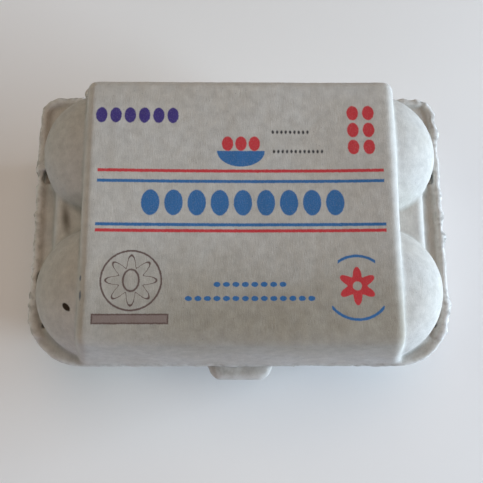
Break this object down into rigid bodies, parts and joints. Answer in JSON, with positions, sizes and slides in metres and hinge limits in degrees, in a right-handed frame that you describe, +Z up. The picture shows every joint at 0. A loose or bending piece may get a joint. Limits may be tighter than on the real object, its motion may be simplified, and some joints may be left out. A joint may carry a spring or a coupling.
{
  "type": "egg carton",
  "caption": "Shut moulded-pulp egg carton with a raised print panel, domed end wells, tapered cups, a back fold and a front locking nose.",
  "frame": {"origin": "on the table, under the middle of the carton's bounding box", "axes": "+X along the carton's length, +Y towards the folded back edge, +Z up"},
  "size_m": [0.1528, 0.112, 0.068],
  "materials": {
    "pulp": "matte"
  },
  "bodies": {
    "root": {"lid": "pulp", "tray": "pulp"}
  },
  "joints": []
}
